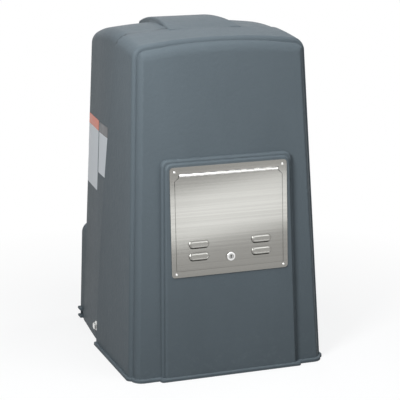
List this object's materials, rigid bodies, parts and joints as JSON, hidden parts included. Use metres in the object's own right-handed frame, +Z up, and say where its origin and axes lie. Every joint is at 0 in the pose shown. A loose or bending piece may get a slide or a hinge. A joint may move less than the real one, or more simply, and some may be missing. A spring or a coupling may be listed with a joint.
{
  "type": "sliding gate motor",
  "caption": "Pad-mounted chain-drive sliding gate operator with a tall moulded lift-off cover, a lockable louvred access door and its drive, brake, limit and control parts inside.",
  "frame": {"origin": "on the ground at the underside of the base plate, in the middle of the four anchor holes", "axes": "+Z up, +X to the operator's right seen from its front, +Y back towards the gate"},
  "size_m": [0.431, 0.4838, 0.6965],
  "materials": {
    "hood_plastic": "satin, fine orange peel",
    "stainless_sheet": "fine vertical grain",
    "lock_chrome": "polished",
    "bolt_steel": "bright",
    "chassis_paint": "satin powder coat",
    "zinc_sheet": "zinc plated",
    "shaft_steel": "turned",
    "cast_housing": "grey enamel on casting",
    "motor_paint": "satin enamel",
    "laminations": "varnished stack",
    "pulley_metal": "machined casting",
    "belt_rubber": "matt",
    "nylon": "natural nylon",
    "switch_plastic": "black",
    "signal_red": "red",
    "board_laminate": "green solder mask",
    "terminal_plastic": "green",
    "relay_plastic": "blue",
    "battery_case": "black",
    "can_aluminium": "drawn can",
    "core_steel": "varnished core",
    "outlet_plastic": "ivory"
  },
  "bodies": {
    "chassis": {"base_plate": "chassis_paint", "rear_plate": "chassis_paint", "left_gusset": "chassis_paint", "right_gusset": "chassis_paint", "motor_shelf": "chassis_paint", "cover_brackets": "zinc_sheet", "cover_bolts": "bolt_steel", "gearbox": "cast_housing", "gearbox_bolts": "bolt_steel", "limit_bracket": "zinc_sheet", "limit_switches": "switch_plastic", "drive_belt": "belt_rubber", "idler_axles": "bolt_steel", "motor_stator": "laminations", "drive_end_bell": "motor_paint", "brake_end_bell": "motor_paint", "motor_cradle": "chassis_paint", "motor_bolts": "bolt_steel", "brake_housing": "motor_paint", "run_capacitor": "can_aluminium", "capacitor_clamp": "zinc_sheet", "control_panel": "zinc_sheet", "board_standoffs": "nylon", "control_board": "board_laminate", "terminal_blocks": "terminal_plastic", "relays": "relay_plastic", "board_parts": "switch_plastic", "transformer": "core_steel", "switch_plate": "zinc_sheet", "rocker_frame": "switch_plastic", "button_guide": "switch_plastic", "service_outlet": "outlet_plastic", "left_battery": "battery_case", "right_battery": "battery_case", "battery_trays": "zinc_sheet"},
    "cover": {"cover_hood": "hood_plastic", "door_frame": "stainless_sheet", "frame_rivets": "bolt_steel", "hinge_frame_half": "bolt_steel", "hinge_pin": "bolt_steel"},
    "access_door": {"door_leaf": "stainless_sheet", "hinge_door_half": "bolt_steel", "lock_barrel": "lock_chrome", "lock_nut": "bolt_steel"},
    "lock_turn": {"lock_plug": "lock_chrome", "lock_cam": "zinc_sheet"},
    "output_drive": {"output_shaft": "shaft_steel", "drive_sprocket": "shaft_steel", "limit_screw": "shaft_steel"},
    "worm_drive": {"worm_shaft": "shaft_steel", "worm_pulley": "pulley_metal"},
    "motor_rotor": {"motor_shaft": "shaft_steel", "motor_pulley": "pulley_metal"},
    "idler_wheel_left": {"left_idler": "nylon"},
    "idler_wheel_right": {"right_idler": "nylon"},
    "limit_nut_open": {"open_limit_nut": "nylon"},
    "limit_nut_close": {"close_limit_nut": "nylon"},
    "brake_release": {"release_lever": "signal_red"},
    "power_switch": {"power_rocker": "switch_plastic"},
    "reset_push": {"reset_button": "signal_red"}
  },
  "joints": [
    {"name": "cover_lift", "type": "slide", "parent": "chassis", "child": "cover", "axis": [0, 0, 1], "range_m": [0, 0.5]},
    {"name": "door_hinge", "type": "hinge", "parent": "cover", "child": "access_door", "pos_m": [0, -0.21115, 0.41647], "axis": [-1, 0, 0], "range_deg": [0, 105]},
    {"name": "lock_cylinder", "type": "hinge", "parent": "access_door", "child": "lock_turn", "pos_m": [0, -0.22257, 0.24585], "axis": [0, 0.9981, -0.0621], "range_deg": [0, 90]},
    {"name": "motor_spin", "type": "hinge", "parent": "chassis", "child": "motor_rotor", "pos_m": [0, 0.112, 0.332], "axis": [1, 0, 0], "continuous": true},
    {"name": "worm_spin", "type": "hinge", "parent": "chassis", "child": "worm_drive", "pos_m": [0, 0.112, 0.185], "axis": [1, 0, 0], "continuous": true},
    {"name": "output_spin", "type": "hinge", "parent": "chassis", "child": "output_drive", "pos_m": [0, 0.112, 0.11], "axis": [0, 1, 0], "continuous": true},
    {"name": "left_idler_spin", "type": "hinge", "parent": "chassis", "child": "idler_wheel_left", "pos_m": [-0.078, 0.2166, 0.037], "axis": [0, 1, 0], "continuous": true},
    {"name": "right_idler_spin", "type": "hinge", "parent": "chassis", "child": "idler_wheel_right", "pos_m": [0.078, 0.2166, 0.037], "axis": [0, 1, 0], "continuous": true},
    {"name": "open_limit_travel", "type": "slide", "parent": "chassis", "child": "limit_nut_open", "axis": [0, 1, 0], "range_m": [-0.008, 0.022]},
    {"name": "close_limit_travel", "type": "slide", "parent": "chassis", "child": "limit_nut_close", "axis": [0, 1, 0], "range_m": [-0.015, 0.008]},
    {"name": "brake_lever", "type": "hinge", "parent": "chassis", "child": "brake_release", "pos_m": [0.126, 0.112, 0.358], "axis": [-1, 0, 0], "range_deg": [0, 35]},
    {"name": "power_rocker_tilt", "type": "hinge", "parent": "chassis", "child": "power_switch", "pos_m": [-0.08, -0.149, 0.249], "axis": [-1, 0, 0], "range_deg": [0, 16]},
    {"name": "reset_press", "type": "slide", "parent": "chassis", "child": "reset_push", "axis": [0, 1, 0], "range_m": [0, 0.004], "stiffness_N_per_m": 250}
  ],
  "couplings": [
    {"joint": "worm_spin", "follows": "motor_spin", "ratio": 0.57143},
    {"joint": "output_spin", "follows": "motor_spin", "ratio": 0.019048}
  ]
}
